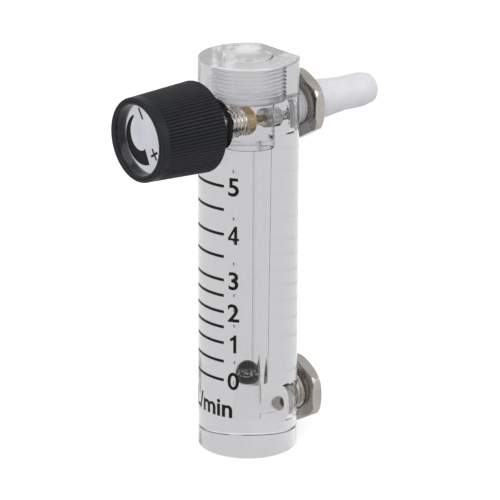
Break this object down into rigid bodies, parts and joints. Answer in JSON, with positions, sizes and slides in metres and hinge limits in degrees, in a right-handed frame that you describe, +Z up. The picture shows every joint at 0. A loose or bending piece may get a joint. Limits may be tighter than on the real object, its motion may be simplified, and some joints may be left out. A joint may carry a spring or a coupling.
{
  "type": "oxygen flowmeter",
  "caption": "Clear variable-area gas flowmeter: float ball in a tapered bore, needle valve with a ribbed knob, and threaded ports for panel mounting.",
  "frame": {"origin": "on the column's axis, at its bottom face", "axes": "+Z up the column; +Y out of the flat back towards the panel and the hoses; -Y towards the knob"},
  "size_m": [0.025, 0.0737, 0.1015],
  "materials": {
    "clear_acrylic": "clear, polished, faint grey",
    "clear_silicone": "translucent",
    "nickel_plate": "bright nickel plate, warm",
    "black_rubber": "black sealing rubber",
    "white_seat": "dull white",
    "white_nylon": "soft white, satin",
    "port_metal": "bright plated thread",
    "float_black": "polished black",
    "spindle_brass": "turned brass",
    "knob_plastic": "black moulded plastic, satin",
    "screw_steel": "blackened steel",
    "label_silver": "silver label with black print"
  },
  "bodies": {
    "flowmeter": {"meter_body": "clear_acrylic", "top_plug": "clear_acrylic", "plug_seal": "clear_silicone", "upper_float_stop": "clear_acrylic", "valve_bonnet": "nickel_plate", "bonnet_washer": "black_rubber", "spindle_seal": "black_rubber", "valve_seat": "white_seat", "outlet_spout": "white_nylon", "outlet_seal": "clear_silicone", "outlet_nut": "nickel_plate", "inlet_fitting": "port_metal", "inlet_seal": "clear_silicone", "inlet_nut": "nickel_plate"},
    "float": {"float_ball": "float_black"},
    "spindle": {"valve_spindle": "spindle_brass"},
    "control_knob": {"knob": "knob_plastic", "knob_bush": "spindle_brass", "knob_set_screw": "screw_steel", "knob_label": "label_silver"}
  },
  "joints": [
    {"name": "float_rise", "type": "slide", "parent": "flowmeter", "child": "float", "axis": [0, 0, 1], "range_m": [0, 0.05625]},
    {"name": "spindle_travel", "type": "slide", "parent": "flowmeter", "child": "spindle", "axis": [0, -1, 0], "range_m": [0, 0.002]},
    {"name": "knob_turn", "type": "hinge", "parent": "spindle", "child": "control_knob", "pos_m": [0, -0.025, 0.0865], "axis": [0, -1, 0], "range_deg": [0, 1444]}
  ],
  "couplings": [
    {"joint": "knob_turn", "follows": "spindle_travel", "rad_per_m": 12566}
  ]
}
